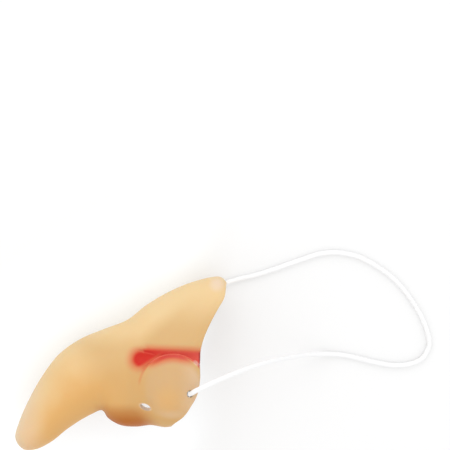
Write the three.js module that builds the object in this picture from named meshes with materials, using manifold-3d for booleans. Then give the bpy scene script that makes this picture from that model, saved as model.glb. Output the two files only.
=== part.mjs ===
// A costume nose: a long drooping nose of soft vinyl, hollow and open to the face, on an elastic
// cord that goes round the wearer's head. Millimetres, +Z up. It lies on the wearer's right side.
//
// The shell is drawn in the worn position first: forward towards the tip, up towards the brow, and
// side towards the wearer's left, all from the foot, the point where its edge meets the upper lip.
// It is then turned onto its side, as it rests by itself.
import * as THREE from 'three';
import { mergeVertices } from 'three/addons/utils/BufferGeometryUtils.js';
import Module from 'manifold-3d';

const wasm = await Module();
wasm.setup();

// Driving dimensions of the shell
const NOSE_REACH = 71; // from the foot forward to the tip
const NOSE_HEIGHT = 66.5; // from the foot up to the top of the bridge
const BODY_WIDTH = 46; // across the body beside the face, without the wings
const WALL = 2;
const TIP_AIM = [0.53, -0.85]; // the way the tip points, forward and up

// The two wings, the round lobes beside the face
const WING_STANDOUT = 4.6; // how far each wing stands out beyond the body
const WING_LENGTH = 30.8;
const WING_RISE = 31.2;
const WING_DOME = 13.6; // how deep each lobe is, from its middle out
const WING_POWER = 2.2; // 2 is an ellipsoid, and more is squarer
const WING_BLEND = 6; // how far a wing melts into the body
const WING_UP = 0.244; // height of the wings' middle, as a share of NOSE_HEIGHT
const WING_FORWARD = 0.013; // their middle's place ahead of the foot, as a share of NOSE_REACH

// The crease over each wing: it follows the lobe's round lip and has a straight upper edge
const CREASE_DEPTH = 2.8;
const LIP_UP = 0.261; // height of the lip's centre, as a share of NOSE_HEIGHT
const LIP_RADIUS = 14.9;
const CREASE_GAP = 2; // from the top of the lip up to the crease's upper edge
const LIP_STEP = 1.35; // how far out from the lip the crease is at its full depth
const CREASE_TOP_FADE = 2.5; // each way from the upper edge
const CREASE_FRONT_FADE = [0.93, 1.39]; // forward, in lip radii: full, then none
const CREASE_FOOT_FADE = [0.38, 0.89]; // up from the lip's centre, in lip radii: none, then full
const SIDE_FADE = [0.13, 0.26]; // out from the middle, as shares of BODY_WIDTH: none, then full
const INNER_EASE = 1; // how much wider the crease's edges are on the inside of the wall

// The breathing holes under the tip of each wing, and the shallow dimples round them
const BREATH_HOLE_LENGTH = 5;
const BREATH_HOLE_HEIGHT = 2.6;
const BREATH_HOLE_FORWARD = 12.4;
const BREATH_HOLE_UP = 0.134; // as a share of NOSE_HEIGHT
const BREATH_HOLE_TILT = -0.4; // radians, its front end up
const DIMPLE_DEPTH = 1;
const DIMPLE_RADIUS = 5.5;

// The elastic cord, its holes and its knots
const CORD_DIAMETER = 2.2;
const CORD_CLEARANCE = 0.4; // round the cord in its hole
const CORD_HOLE_PLACE = 0.928; // where each hole lies, as a share of the ribs from tip to edge
const CORD_HOLE_ANGLE = 1.83; // and in radians round the rib, from the crest
const CORD_HOLE_AIM = [-0.5, 0.23, 0.84]; // forward, up and side: out, and back past the ear
const KNOT_DIAMETER = 5.2;
const KNOT_GAP = 0.46; // off the smooth wall, whose flats stand in a little

// How the nose lies when it rests on its side, in radians
const REST_SWING = -0.217; // about the upright axis of the worn position
const REST_LEAN = -0.353; // about the nose's level axis, the underside turning up

// Mesh steps
const RIB_STEPS = 3; // rings from one rib to the next on the outside
const INNER_RIB_STEPS = 2;
const ROUND_STEPS = 64; // points in each ring
const EDGE_STEPS = 3; // round the thickness of the face edge
const EDGE_BACK = 0.23; // ribs by which the walls stop short, which the rounded edge makes up
const SOLVE_STEPS = 30;
const NORMAL_STEP = 0.02; // ribs or radians, to measure the surface's normal
const CORD_SIDES = 8;
const CORD_STEPS = 80;
const HOLE_SIDES = 16;
const KNOT_SIDES = 12;

// Ribs from the tip to the face edge. Each is a cross-section from a point on the crest, the top
// line of the nose, to a point on its keel, the underline. Forward is a share of NOSE_REACH, up of
// NOSE_HEIGHT and half width of half of BODY_WIDTH. Widest is how far down the rib its widest place
// lies, and the powers shape the section above and below it.
const RIBS = [
  // crest fwd, up,  keel fwd, up,  half width, widest, crown power, keel power
  [0.952, -0.16, 0.952, -0.16, 0, 0.5, 2, 2],
  [1.002, -0.084, 0.867, -0.159, 0.383, 0.5, 2, 2],
  [0.977, 0.027, 0.769, -0.106, 0.591, 0.5, 2, 2],
  [0.916, 0.175, 0.678, -0.028, 0.709, 0.5, 2, 2],
  [0.833, 0.333, 0.592, 0.034, 0.765, 0.5, 2.05, 2],
  [0.726, 0.482, 0.517, 0.078, 0.783, 0.51, 2.1, 2],
  [0.589, 0.586, 0.467, 0.102, 0.791, 0.52, 2.1, 2.1],
  [0.433, 0.656, 0.441, 0.094, 0.817, 0.54, 2.05, 2.3],
  [0.293, 0.715, 0.409, 0.046, 0.861, 0.57, 2, 2.5],
  [0.166, 0.819, 0.331, 0.002, 0.913, 0.6, 2, 2.6],
  [0.023, 0.908, 0.235, -0.007, 0.965, 0.63, 2.05, 2.5],
  [-0.126, 0.973, 0.133, 0.005, 0.996, 0.645, 2.1, 2.4],
  [-0.283, 1.008, 0.054, -0.007, 0.985, 0.65, 2.1, 2.3],
  [-0.346, 0.96, 0.003, 0.004, 0.94, 0.65, 2.1, 2.3],
];
const LAST_RIB = RIBS.length - 1;

// How far the face edge bows back from the straight line between crest and keel, at equal steps
// down the edge, as shares of its length: a little in beside the bridge, and out round the wings.
const EDGE_BOW = [0, 0.018, 0.006, -0.006, -0.013, -0.013, 0.003, 0.033, 0.066, 0.081, 0.07, 0.048, 0];
const EDGE_BOW_START = 0.54; // the share of the ribs, from tip to edge, where the bow begins

// The elastic's centre line, chosen by hand where the nose lies: from the knot in the upper wing,
// down to the floor, round its loop, under the bridge and up to the knot in the lower wing.
const CORD_POINTS = [
  // x, y, z
  [23.7, -2.4, 51.9],
  [24.4, -1.2, 53.7],
  [25, -0.1, 55.3],
  [25.9, 1.5, 57.1],
  [28.4, 3.4, 58.2],
  [32.2, 5.2, 57.8],
  [38, 6.7, 55.3],
  [45.5, 7.5, 50.2],
  [54.1, 7.5, 43.3],
  [65, 6.1, 33],
  [81.5, 1.7, 15.5],
  [88.2, -0.3, 8.8],
  [95.1, -1.9, 3.8],
  [102.1, -2.9, 1.5],
  [108.4, -3.8, 1.15],
  [122.7, -7.3, 1.15],
  [130.1, -8.5, 1.15],
  [137.4, -8.2, 1.15],
  [143.8, -5.3, 1.15],
  [146.7, 1.1, 1.15],
  [144.6, 9.5, 1.15],
  [138.9, 19.8, 1.15],
  [127.4, 33.5, 1.15],
  [112.1, 43.4, 1.15],
  [104.9, 45.7, 1.15],
  [98, 46.5, 1.15],
  [91.1, 45.7, 1.15],
  [82.8, 42.8, 1.15],
  [63.2, 35.7, 1.15],
  [53.7, 33.3, 1.15],
  [48.9, 31.3, 1.15],
  [45, 25.5, 1.15],
  [42.9, 18, 1.15],
  [39.6, 2, 1.15],
  [39.3, -6.2, 1.15],
  [39.7, -13.4, 1.4],
  [38.9, -16.9, 2.7],
  [37.4, -18.5, 4.2],
  [35.6, -18.7, 6.1],
  [34.1, -18.7, 7.8],
];

const wingSpan = BODY_WIDTH + 2 * WING_STANDOUT;
const wingForward = WING_FORWARD * NOSE_REACH;
const wingUp = WING_UP * NOSE_HEIGHT;
const lipUp = LIP_UP * NOSE_HEIGHT;
const wingSide = wingSpan / 2 - WING_DOME;
const cordHoleRib = CORD_HOLE_PLACE * LAST_RIB;

function blendStep(value, from, to) {
  return THREE.MathUtils.smoothstep(value, from, to);
}

function catmullRom(before, from, to, after, t) {
  const bend = 2 * before - 5 * from + 4 * to - after;
  const twist = 3 * from - before - 3 * to + after;
  return 0.5 * (2 * from + (to - before) * t + bend * t * t + twist * t * t * t);
}

function ribRow(index) {
  if (index < 0) {
    // The rib before the tip mirrors the one after it, so that the tip closes round.
    const [crestForward, crestUp, keelForward, keelUp, half, ...shape] = RIBS[1];
    return [keelForward, keelUp, crestForward, crestUp, -half, ...shape];
  }
  if (index > LAST_RIB) {
    return RIBS[LAST_RIB].map((value, column) => 2 * value - RIBS[LAST_RIB - 1][column]);
  }
  return RIBS[index];
}

// The rib at any place between 0, the tip, and LAST_RIB, the face edge, in millimetres.
function ribAt(place) {
  const index = Math.min(Math.floor(place), LAST_RIB - 1);
  const rows = [index - 1, index, index + 1, index + 2].map(ribRow);
  const [crestForward, crestUp, keelForward, keelUp, half, widest, crownPower, keelPower] = RIBS[0].map(
    (_, column) => catmullRom(...rows.map((row) => row[column]), place - index),
  );
  const crest = new THREE.Vector2(crestForward * NOSE_REACH, crestUp * NOSE_HEIGHT);
  const keel = new THREE.Vector2(keelForward * NOSE_REACH, keelUp * NOSE_HEIGHT);
  const down = keel.clone().sub(crest);
  const length = Math.max(down.length(), 1e-6);
  down.divideScalar(length);
  const halfWidth = Math.max((half * BODY_WIDTH) / 2, 1e-6);
  return { place, crest, down, length, halfWidth, widest, crownPower, keelPower };
}

function edgeBow(share) {
  const steps = EDGE_BOW.length - 1;
  const at = THREE.MathUtils.clamp(share, 0, 1) * steps;
  const index = Math.min(Math.floor(at), steps - 1);
  const value = (i) => EDGE_BOW[THREE.MathUtils.clamp(i, 0, steps)];
  return catmullRom(value(index - 1), value(index), value(index + 1), value(index + 2), at - index);
}

// The point at a radius from the rib's widest place, at an angle from its crest.
function pointOnRib(rib, angle, radius) {
  const along = rib.widest * rib.length - Math.cos(angle) * radius;
  const bow = edgeBow(along / rib.length) * rib.length;
  const back = bow * blendStep(rib.place, EDGE_BOW_START * LAST_RIB, LAST_RIB);
  const forward = rib.crest.x + along * rib.down.x + back * rib.down.y;
  const up = rib.crest.y + along * rib.down.y - back * rib.down.x;
  return new THREE.Vector3(forward, up, Math.sin(angle) * radius);
}

// The body's section: a superellipse with its own power above and below the widest place.
function bodyRadius(rib, angle) {
  const above = Math.cos(angle) > 0;
  const reach = rib.length * (above ? rib.widest : 1 - rib.widest);
  const power = above ? rib.crownPower : rib.keelPower;
  const rise = Math.abs(Math.cos(angle) / reach) ** power;
  const spread = Math.abs(Math.sin(angle) / rib.halfWidth) ** power;
  return (rise + spread) ** (-1 / power);
}

// Roughly how far a point lies outside the nearer wing, and less than 0 inside it.
function wingDistance({ x: forward, y: up, z: side }) {
  const lengthwise = Math.abs((forward - wingForward) / (WING_LENGTH / 2)) ** WING_POWER;
  const upright = Math.abs((up - wingUp) / (WING_RISE / 2)) ** WING_POWER;
  const across = Math.abs((Math.abs(side) - wingSide) / WING_DOME) ** WING_POWER;
  return ((lengthwise + upright + across) ** (1 / WING_POWER) - 1) * WING_DOME;
}

function softMinimum(a, b, blend) {
  const overlap = Math.max(blend - Math.abs(a - b), 0) / blend;
  return Math.min(a, b) - (overlap * overlap * blend) / 4;
}

// The creases and dimples leave the middle of the nose alone.
function sideFade(side) {
  const [none, full] = SIDE_FADE.map((share) => share * BODY_WIDTH);
  return blendStep(Math.abs(side), none, full);
}

// How deep the crease is at a point. Ease spreads its edges, for the wall's inside.
function creaseDepth({ x: forward, y: up, z: side }, ease) {
  const fromLip = Math.hypot(forward, up - lipUp) - LIP_RADIUS;
  const upperEdge = lipUp + LIP_RADIUS + CREASE_GAP;
  const fade = CREASE_TOP_FADE + ease;
  const [frontFull, frontNone] = CREASE_FRONT_FADE.map((share) => share * LIP_RADIUS);
  const [footNone, footFull] = CREASE_FOOT_FADE.map((share) => lipUp + share * LIP_RADIUS);
  const lip = blendStep(fromLip, -ease, LIP_STEP * (1 + ease));
  const top = 1 - blendStep(up, upperEdge - fade, upperEdge + fade);
  const front = 1 - blendStep(forward, frontFull, frontNone + ease);
  const foot = blendStep(up, footNone - ease, footFull);
  return CREASE_DEPTH * lip * top * front * foot * sideFade(side);
}

function dimpleDepth({ x: forward, y: up, z: side }) {
  const away = Math.hypot(forward - BREATH_HOLE_FORWARD, up - BREATH_HOLE_UP * NOSE_HEIGHT);
  return DIMPLE_DEPTH * (1 - blendStep(away, 0, DIMPLE_RADIUS)) * sideFade(side);
}

// The outer surface where a ray at this angle leaves the rib: body and wings melted together,
// less the crease and the dimple. The ray crosses it once, between half the body's radius and far
// outside the wings.
function surfacePoint(rib, angle, ease) {
  const body = bodyRadius(rib, angle);
  let inside = body / 2;
  let outside = body + wingSpan / 2;
  for (let step = 0; step < SOLVE_STEPS; step += 1) {
    const radius = (inside + outside) / 2;
    const wing = wingDistance(pointOnRib(rib, angle, radius));
    if (softMinimum(radius - body, wing, WING_BLEND) < 0) {
      inside = radius;
    } else {
      outside = radius;
    }
  }
  const point = pointOnRib(rib, angle, inside);
  return pointOnRib(rib, angle, inside - creaseDepth(point, ease) - dimpleDepth(point));
}

// The surface's normal and its direction along the nose at a place and angle.
function surfaceFrame(place, angle, ease) {
  const before = Math.max(place - NORMAL_STEP, NORMAL_STEP / 2);
  const alongNose = surfacePoint(ribAt(place), angle, ease).sub(surfacePoint(ribAt(before), angle, ease));
  const roundRib = surfacePoint(ribAt(place), angle + NORMAL_STEP, ease);
  roundRib.sub(surfacePoint(ribAt(place), angle - NORMAL_STEP, ease));
  const normal = alongNose.clone().cross(roundRib).normalize();
  return { normal, backwards: alongNose.normalize() };
}

function ring(pointAtAngle) {
  return Array.from({ length: ROUND_STEPS }, (_, i) => pointAtAngle((i / ROUND_STEPS) * 2 * Math.PI));
}

function wallPoint(place, angle) {
  const { normal } = surfaceFrame(place, angle, INNER_EASE);
  return surfacePoint(ribAt(place), angle, INNER_EASE).addScaledVector(normal, -WALL);
}

// All the rings of the shell, from the tip along the outside, round the face edge and back along
// the inside, each one turned into model axes: x backwards, y up and z to the wearer's left.
function shellRings() {
  const end = LAST_RIB - EDGE_BACK;
  const rings = [];
  const outerCount = Math.round(LAST_RIB * RIB_STEPS);
  for (let i = 1; i <= outerCount; i += 1) {
    const rib = ribAt((end * i) / outerCount);
    rings.push(ring((angle) => surfacePoint(rib, angle, 0)));
  }
  for (let i = 1; i < EDGE_STEPS; i += 1) {
    const turn = (Math.PI * i) / EDGE_STEPS;
    rings.push(
      ring((angle) => {
        const outer = surfacePoint(ribAt(end), angle, 0);
        const inner = wallPoint(end, angle);
        const middle = outer.clone().lerp(inner, 0.5);
        const { backwards } = surfaceFrame(end, angle, 0);
        const across = outer.sub(middle).multiplyScalar(Math.cos(turn));
        return middle.add(across).addScaledVector(backwards, (WALL / 2) * Math.sin(turn));
      }),
    );
  }
  const innerCount = Math.round(LAST_RIB * INNER_RIB_STEPS);
  for (let i = innerCount; i >= 1; i -= 1) {
    rings.push(ring((angle) => wallPoint((end * i) / innerCount, angle)));
  }
  return rings;
}

function toModel(point) {
  return new THREE.Vector3(-point.x, point.y, point.z);
}

// A closed surface from rings of points, with one point closing each end.
function closedSurface(first, rings, last) {
  const points = [first, ...rings.flat(), last];
  const faces = [];
  const at = (row, i) => 1 + row * ROUND_STEPS + (i % ROUND_STEPS);
  for (let i = 0; i < ROUND_STEPS; i += 1) {
    faces.push(0, at(0, i + 1), at(0, i));
    faces.push(points.length - 1, at(rings.length - 1, i), at(rings.length - 1, i + 1));
    for (let row = 0; row + 1 < rings.length; row += 1) {
      faces.push(at(row, i), at(row, i + 1), at(row + 1, i));
      faces.push(at(row, i + 1), at(row + 1, i + 1), at(row + 1, i));
    }
  }
  const geometry = new THREE.BufferGeometry().setFromPoints(points.map(toModel));
  geometry.setIndex(faces);
  return geometry;
}

function toSolid(geometry) {
  const plain = geometry.clone();
  plain.deleteAttribute('normal');
  plain.deleteAttribute('uv');
  const merged = mergeVertices(plain, 1e-4);
  const vertProperties = Float32Array.from(merged.attributes.position.array);
  const triVerts = Uint32Array.from(merged.index.array);
  return new wasm.Manifold(new wasm.Mesh({ numProp: 3, vertProperties, triVerts }));
}

function toGeometry(solid) {
  const mesh = solid.getMesh();
  const geometry = new THREE.BufferGeometry();
  geometry.setAttribute('position', new THREE.BufferAttribute(mesh.vertProperties, 3));
  geometry.setIndex(new THREE.BufferAttribute(mesh.triVerts, 1));
  return geometry;
}

// Where a cord hole leaves the outside of one wing, and its direction outwards. Hand is 1 on the
// wearer's left and -1 on the right.
function cordHole(hand) {
  const mouth = toModel(surfacePoint(ribAt(cordHoleRib), CORD_HOLE_ANGLE, 0));
  const aim = toModel(new THREE.Vector3(...CORD_HOLE_AIM)).normalize();
  mouth.z *= hand;
  aim.z *= hand;
  return { mouth, aim };
}

// A round bar along the y axis, moved so that its middle is at a point and its axis along a line.
function bar(diameter, length, middle, direction) {
  const geometry = new THREE.CylinderGeometry(diameter / 2, diameter / 2, length, HOLE_SIDES);
  const turn = new THREE.Quaternion().setFromUnitVectors(new THREE.Vector3(0, 1, 0), direction);
  return geometry.applyQuaternion(turn).translate(middle.x, middle.y, middle.z);
}

function noseShell() {
  const tip = surfacePoint(ribAt(0), 0, 0);
  const innerTip = tip.clone().addScaledVector(new THREE.Vector3(...TIP_AIM, 0), -WALL);
  let solid = toSolid(closedSurface(tip, shellRings(), innerTip));
  const holeDiameter = CORD_DIAMETER + 2 * CORD_CLEARANCE;
  for (const hand of [1, -1]) {
    const { mouth, aim } = cordHole(hand);
    solid = solid.subtract(toSolid(bar(holeDiameter, WING_DOME, mouth, aim)));
  }
  const breath = new THREE.CylinderGeometry(0.5, 0.5, wingSpan, HOLE_SIDES).rotateX(Math.PI / 2);
  breath.scale(BREATH_HOLE_LENGTH, BREATH_HOLE_HEIGHT, 1);
  breath.rotateZ(BREATH_HOLE_TILT);
  breath.translate(-BREATH_HOLE_FORWARD, BREATH_HOLE_UP * NOSE_HEIGHT, 0);
  solid = solid.subtract(toSolid(breath));
  return toGeometry(solid);
}

// The elastic: a round section carried along its centre line.
function elasticCord() {
  const section = new THREE.Shape();
  section.absarc(0, 0, CORD_DIAMETER / 2, 0, 2 * Math.PI);
  const route = new THREE.CatmullRomCurve3(CORD_POINTS.map((point) => new THREE.Vector3(...point)));
  const options = { steps: CORD_STEPS, curveSegments: CORD_SIDES / 2, extrudePath: route };
  return new THREE.ExtrudeGeometry(section, options);
}

// A knot is a ball on the inside of the wall, on the hole's own axis.
function knot(hand) {
  const { mouth, aim } = cordHole(hand);
  const { normal } = surfaceFrame(cordHoleRib, CORD_HOLE_ANGLE, 0);
  const outward = toModel(normal).multiply(new THREE.Vector3(1, 1, hand));
  const depth = (WALL + KNOT_GAP + KNOT_DIAMETER / 2) / aim.dot(outward);
  const middle = mouth.addScaledVector(aim, -depth);
  const ball = new THREE.SphereGeometry(KNOT_DIAMETER / 2, KNOT_SIDES, KNOT_SIDES);
  return ball.translate(middle.x, middle.y, middle.z);
}

function namedMesh(name, geometry, material) {
  const mesh = new THREE.Mesh(geometry, material);
  mesh.name = name;
  return mesh;
}

const vinyl = new THREE.MeshStandardMaterial({ color: 0xe8bd82, roughness: 0.5, metalness: 0 });
const elastic = new THREE.MeshStandardMaterial({ color: 0xf4f3f0, roughness: 0.8, metalness: 0 });
const shell = namedMesh('nose_shell', noseShell(), vinyl);

// The worn position is turned onto its side and set on the floor, its box centred on the origin.
const lying = new THREE.Matrix4().makeRotationX(REST_LEAN);
lying.multiply(new THREE.Matrix4().makeRotationY(REST_SWING));
const box = new THREE.Box3().setFromBufferAttribute(
  shell.geometry.clone().applyMatrix4(lying).attributes.position,
);
const offset = box.getCenter(new THREE.Vector3()).negate().setZ(-box.min.z);

const nose = new THREE.Group();
nose.rotation.setFromRotationMatrix(lying);
nose.position.copy(offset);
nose.add(shell);
nose.add(namedMesh('knot_left', knot(1), elastic));
nose.add(namedMesh('knot_right', knot(-1), elastic.clone()));

const assembly = new THREE.Group();
assembly.add(nose);
assembly.add(namedMesh('elastic_cord', elasticCord(), elastic.clone()));

export default assembly;
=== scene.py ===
"""Looks of a costume nose: a long drooping nose of soft painted vinyl on a white elastic cord.

The nose is drawn as worn first: back from the tip towards the face, up to the brow and out to the
wearer's left, from the foot where its edge meets the upper lip. It is then turned onto the wearer's
right side, as it rests. Lengths are metres.
"""

import math
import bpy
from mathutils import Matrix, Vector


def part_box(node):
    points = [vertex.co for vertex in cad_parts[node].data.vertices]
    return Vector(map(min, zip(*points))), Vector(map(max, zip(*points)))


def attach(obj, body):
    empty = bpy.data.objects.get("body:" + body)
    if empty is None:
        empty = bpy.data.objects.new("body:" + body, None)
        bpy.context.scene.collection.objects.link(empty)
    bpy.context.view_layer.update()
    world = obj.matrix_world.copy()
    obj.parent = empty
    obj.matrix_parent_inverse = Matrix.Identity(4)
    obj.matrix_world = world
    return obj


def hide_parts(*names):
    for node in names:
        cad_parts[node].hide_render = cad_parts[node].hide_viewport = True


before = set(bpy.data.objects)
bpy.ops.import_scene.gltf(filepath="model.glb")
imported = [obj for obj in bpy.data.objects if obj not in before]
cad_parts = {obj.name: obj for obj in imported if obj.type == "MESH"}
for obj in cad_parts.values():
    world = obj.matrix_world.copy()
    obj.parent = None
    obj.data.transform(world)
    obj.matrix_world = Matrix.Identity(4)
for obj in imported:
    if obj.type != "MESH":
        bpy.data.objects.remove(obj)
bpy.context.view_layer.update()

from types import SimpleNamespace

import bpy
import numpy as np
from bpy.props import FloatProperty, FloatVectorProperty, IntProperty, PointerProperty
from mathutils import Matrix, Vector

bl_info = {
    "name": "Costume Nose",
    "version": (1, 0, 0),
    "blender": (4, 5, 0),
    "location": "View3D > Sidebar > Costume Nose",
    "description": "Makes a drooping costume nose of painted vinyl on a white elastic cord",
    "category": "Object",
}

NOSE_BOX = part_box("nose_shell")

# Ribs from the tip to the face edge, each a cross-section from the crest to the keel. Forward is a
# share of the reach, up of the height and half width of half the body's width. Widest is how far
# down the rib its widest place lies, and the powers shape the section above and below it.
RIBS = np.array([
    # crest fwd, up,  keel fwd, up,  half width, widest, crown power, keel power
    [0.952, -0.16, 0.952, -0.16, 0, 0.5, 2, 2],
    [1.002, -0.084, 0.867, -0.159, 0.383, 0.5, 2, 2],
    [0.977, 0.027, 0.769, -0.106, 0.591, 0.5, 2, 2],
    [0.916, 0.175, 0.678, -0.028, 0.709, 0.5, 2, 2],
    [0.833, 0.333, 0.592, 0.034, 0.765, 0.5, 2.05, 2],
    [0.726, 0.482, 0.517, 0.078, 0.783, 0.51, 2.1, 2],
    [0.589, 0.586, 0.467, 0.102, 0.791, 0.52, 2.1, 2.1],
    [0.433, 0.656, 0.441, 0.094, 0.817, 0.54, 2.05, 2.3],
    [0.293, 0.715, 0.409, 0.046, 0.861, 0.57, 2, 2.5],
    [0.166, 0.819, 0.331, 0.002, 0.913, 0.6, 2, 2.6],
    [0.023, 0.908, 0.235, -0.007, 0.965, 0.63, 2.05, 2.5],
    [-0.126, 0.973, 0.133, 0.005, 0.996, 0.645, 2.1, 2.4],
    [-0.283, 1.008, 0.054, -0.007, 0.985, 0.65, 2.1, 2.3],
    [-0.346, 0.96, 0.003, 0.004, 0.94, 0.65, 2.1, 2.3],
])
LAST_RIB = len(RIBS) - 1

# How far the face edge bows back from the line between crest and keel, at equal steps down it, as
# shares of that line, and from which share of the ribs on they bow. The shell ends a little short
# of the last rib, by a share of a rib.
EDGE_BOW = np.array([0, 0.018, 0.006, -0.006, -0.013, -0.013, 0.003, 0.033, 0.066, 0.081, 0.07, 0.048, 0])
EDGE_BOW_START = 0.54
EDGE_BACK = 0.23
SHELL_END = LAST_RIB - EDGE_BACK

# Crease and dimple set in between these shares of the body's width out from the middle.
SIDE_FADE = (0.13, 0.26)

# Where the crease ends in front of the lip's centre and above it, from full to none and from none
# to full, in lip radii. An ease of SOFT_LIP makes the step at the lip twice as soft.
CREASE_FRONT = (0.93, 1.39)
CREASE_FOOT = (0.38, 0.89)
SOFT_LIP = 0.001

# How strongly the shell's rings crowd towards the wings, and their points towards the sides.
RING_CROWDING = 1.3
SIDE_CROWDING = 0.22

# The least that a size at the tip counts as, so that it can be divided by.
TINY = 1e-9

# Halvings that find a ray's end, steps round the face edge, rings along the elastic, and the places
# and angles that the nose's box is taken from, which start just off the tip.
HALVINGS = 30
EDGE_STEPS = 8
ELASTIC_RINGS = 760
BOX_GRID = (160, 144)
BOX_START = 0.05

# The way out at the tip: forward, up and side. The inside of the tip is a wall's thickness behind.
TIP_OUT = np.array([0.53, -0.85, 0])

# How far the rods that cut the holes reach: each way from a cord hole's mouth, and past the wing.
CORD_ROD_REACH = 0.0065
BREATH_ROD_PAST = 0.003

# The shell is smooth, except where its faces meet at more than this.
SHARP_ANGLE = math.radians(50)

# The pool of light sets in from its rim inwards, in shares of its size, and fades out behind the
# face edge, in metres back.
POOL_RIM = (1.0, 0.6)
POOL_REAR = (0.026, -0.004)

# How far the table goes each way, how little it lies under the part, so that no faces coincide, and
# how much of its tone its darker spots keep. The lamp's size across and its distance from the middle
# of the view.
TABLE_REACH = 4.0
TABLE_DROP = 0.00005
TABLE_SPOTS = 0.985
LAMP_SIZE = 0.9
LAMP_DISTANCE = 1.2

# The elastic's centre line where the nose lies: from the knot in the upper wing, down to the
# floor, round its loop, under the bridge and up to the knot in the lower wing.
ELASTIC_POINTS = np.array([
    [0.0237, -0.0024, 0.0519],
    [0.0244, -0.0012, 0.0537],
    [0.025, -0.0001, 0.0553],
    [0.0259, 0.0015, 0.0571],
    [0.0284, 0.0034, 0.0582],
    [0.0322, 0.0052, 0.0578],
    [0.038, 0.0067, 0.0553],
    [0.0455, 0.0075, 0.0502],
    [0.0541, 0.0075, 0.0433],
    [0.065, 0.0061, 0.033],
    [0.0815, 0.0017, 0.0155],
    [0.0882, -0.0003, 0.0088],
    [0.0951, -0.0019, 0.0038],
    [0.1021, -0.0029, 0.0015],
    [0.1084, -0.0038, 0.00115],
    [0.1227, -0.0073, 0.00115],
    [0.1301, -0.0085, 0.00115],
    [0.1374, -0.0082, 0.00115],
    [0.1438, -0.0053, 0.00115],
    [0.1467, 0.0011, 0.00115],
    [0.1446, 0.0095, 0.00115],
    [0.1389, 0.0198, 0.00115],
    [0.1274, 0.0335, 0.00115],
    [0.1121, 0.0434, 0.00115],
    [0.1049, 0.0457, 0.00115],
    [0.098, 0.0465, 0.00115],
    [0.0911, 0.0457, 0.00115],
    [0.0828, 0.0428, 0.00115],
    [0.0632, 0.0357, 0.00115],
    [0.0537, 0.0333, 0.00115],
    [0.0489, 0.0313, 0.00115],
    [0.045, 0.0255, 0.00115],
    [0.0429, 0.018, 0.00115],
    [0.0396, 0.002, 0.00115],
    [0.0393, -0.0062, 0.00115],
    [0.0397, -0.0134, 0.0014],
    [0.0389, -0.0169, 0.0027],
    [0.0374, -0.0185, 0.0042],
    [0.0356, -0.0187, 0.0061],
    [0.0341, -0.0187, 0.0078],
])


def length(name, description, default):
    """A size property in metres."""
    return FloatProperty(name=name, description=description, default=default, unit="LENGTH", precision=5)


def share(name, description, default):
    """A property that is a share of another size, from 0 to 1."""
    return FloatProperty(
        name=name, description=description, default=default, min=0, max=1, subtype="FACTOR", precision=3)


def radians(name, description, default):
    """An angle property in radians."""
    return FloatProperty(name=name, description=description, default=default, subtype="ANGLE")


def number(name, description, default):
    """A plain number property."""
    return FloatProperty(name=name, description=description, default=default)


def vector(name, description, default, **kind):
    """A property of two or three numbers, with its unit or subtype."""
    return FloatVectorProperty(
        name=name, description=description, default=default, size=len(default), **kind)


def colour(name, description, default):
    """A colour property, linear red, green and blue."""
    return vector(name, description, default, min=0, max=1, subtype="COLOR")


class CostumeNoseShape(bpy.types.PropertyGroup):
    """Sizes of the vinyl nose, as worn."""

    reach: length("Reach", "From the foot forward to the tip", 0.071)
    height: length("Height", "From the foot up to the top of the bridge", 0.0665)
    body_width: length("Body width", "Across the body beside the face, without the wings", 0.046)
    wall: length("Wall", "Thickness of the vinyl", 0.002)
    wing_standout: length("Wing standout", "How far each wing stands out beyond the body", 0.0046)
    wing_length: length("Wing length", "Length of each wing, front to back", 0.0308)
    wing_rise: length("Wing rise", "Height of each wing", 0.0312)
    wing_dome: length("Wing dome", "Depth of each wing's lobe, from its middle out", 0.0136)
    wing_power: number("Wing squareness", "2 is an ellipsoid, and more is squarer", 2.2)
    wing_blend: length("Wing blend", "How far a wing melts into the body", 0.006)
    wing_up: share("Wing place up", "Height of the wings' middle, as a share of the height", 0.244)
    wing_forward: share("Wing place forward", "Their place ahead of the foot, as a share of reach", 0.013)
    lip_up: share("Lip place up", "Height of the lip's centre, as a share of the height", 0.261)
    lip_radius: length("Lip radius", "Radius of the round lip over each wing", 0.0149)
    crease_depth: length("Crease depth", "Depth of the crease over each wing", 0.0028)
    crease_gap: length("Crease gap", "From the top of the lip to the crease's upper edge", 0.002)
    lip_step: length("Lip step", "How far out from the lip the crease is at its full depth", 0.00135)
    crease_fade: length("Crease fade", "Softness of the crease's upper edge, each way", 0.0025)
    inner_ease: length("Inner ease", "How much softer the crease is on the inside", 0.001)
    breath_length: length("Breathing hole length", "Length of each breathing hole", 0.005)
    breath_height: length("Breathing hole height", "Height of each breathing hole", 0.0026)
    breath_forward: length("Breathing hole place", "Its place ahead of the foot", 0.0124)
    breath_up: share("Breathing hole place up", "Its height, as a share of the nose's height", 0.134)
    breath_tilt: radians("Breathing hole tilt", "Turn of the hole, its front end up", -0.4)
    dimple_depth: length("Dimple depth", "Depth of the dimple round each breathing hole", 0.001)
    dimple_radius: length("Dimple radius", "Radius of that dimple", 0.0055)
    rest_swing: radians("Rest swing", "Turn about the worn upright axis as the nose lies", -0.217)
    rest_lean: radians("Rest lean", "Turn about the worn level axis as the nose lies", -0.353)
    outer_rings: IntProperty(name="Outer rings", description="Rings of points on the outside", default=250)
    inner_rings: IntProperty(name="Inner rings", description="Rings of points on the inside", default=56)
    round_steps: IntProperty(name="Round steps", description="Points in each ring", default=288)


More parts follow.
